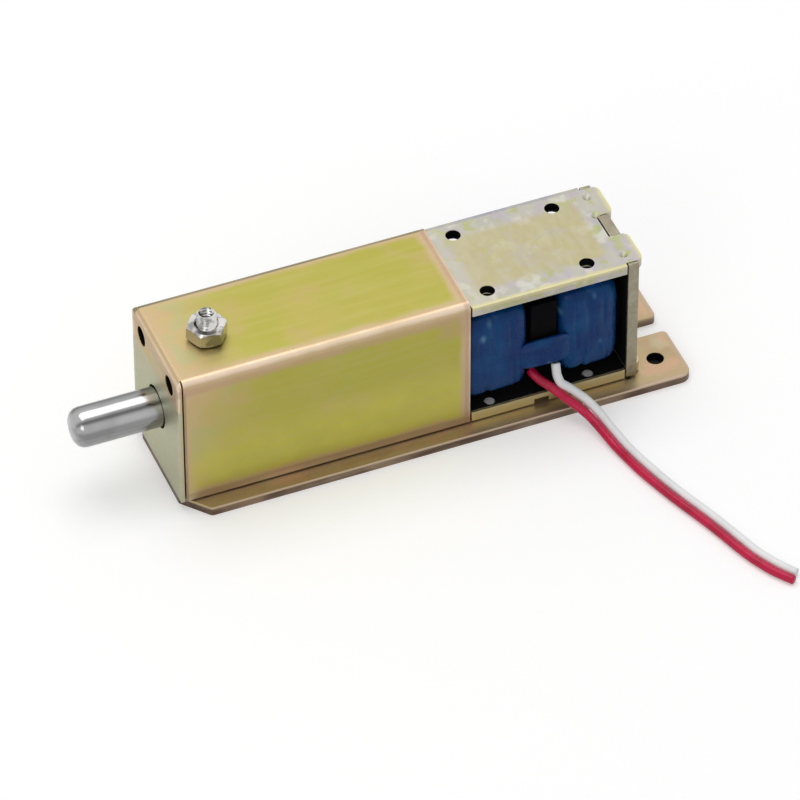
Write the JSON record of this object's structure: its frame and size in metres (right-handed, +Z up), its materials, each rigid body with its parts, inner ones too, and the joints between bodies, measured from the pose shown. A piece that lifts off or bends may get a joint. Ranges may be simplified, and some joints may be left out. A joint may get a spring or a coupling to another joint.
{
  "type": "solenoid lock",
  "caption": "Open-frame solenoid lock: a sprung round bolt guided in a folded steel cover, drawn back by a coil in a steel yoke, on a slotted base plate.",
  "frame": {"origin": "on the base plate's underside, under the middle of the lock's length without its leads", "axes": "+Z up, the bolt points to -X, the leads leave at -Y"},
  "size_m": [0.1226, 0.0902, 0.0389],
  "materials": {
    "plate_zinc": "satin yellow-passivated zinc",
    "cover_zinc": "satin yellow-passivated zinc",
    "yoke_zinc": "satin yellow-passivated zinc",
    "cast_block": "cast grey",
    "bright_steel": "bright zinc",
    "polished_steel": "polished",
    "core_steel": "plain",
    "dark_nylon": "matt",
    "black_plastic": "gloss",
    "taped_winding": "glossy tape over copper wire",
    "blue_tape": "gloss",
    "red_pvc": "gloss",
    "white_pvc": "gloss"
  },
  "bodies": {
    "housing": {"base_plate": "plate_zinc", "cover": "cover_zinc", "guide_block": "cast_block", "cover_stud": "bright_steel", "cover_nut": "bright_steel", "stop_washer": "dark_nylon", "return_spring": "core_steel", "spring_seat": "core_steel", "yoke": "yoke_zinc", "yoke_end_plate": "yoke_zinc", "bobbin": "black_plastic", "front_winding": "taped_winding", "rear_winding": "taped_winding", "lead_tape": "blue_tape", "fixed_core": "core_steel", "core_pad": "dark_nylon", "red_lead": "red_pvc", "white_lead": "white_pvc", "yoke_screw_1": "bright_steel", "yoke_screw_2": "bright_steel", "yoke_screw_3": "bright_steel", "yoke_screw_4": "bright_steel", "block_screw_1": "bright_steel", "block_screw_2": "bright_steel"},
    "bolt": {"lock_bolt": "polished_steel", "coupling_pin": "polished_steel", "plunger": "core_steel"}
  },
  "joints": [
    {"name": "bolt_slide", "type": "slide", "parent": "housing", "child": "bolt", "axis": [1, 0, 0], "range_m": [0, 0.01], "stiffness_N_per_m": 150, "springref_m": -0.02, "deforming": ["return_spring"]}
  ]
}
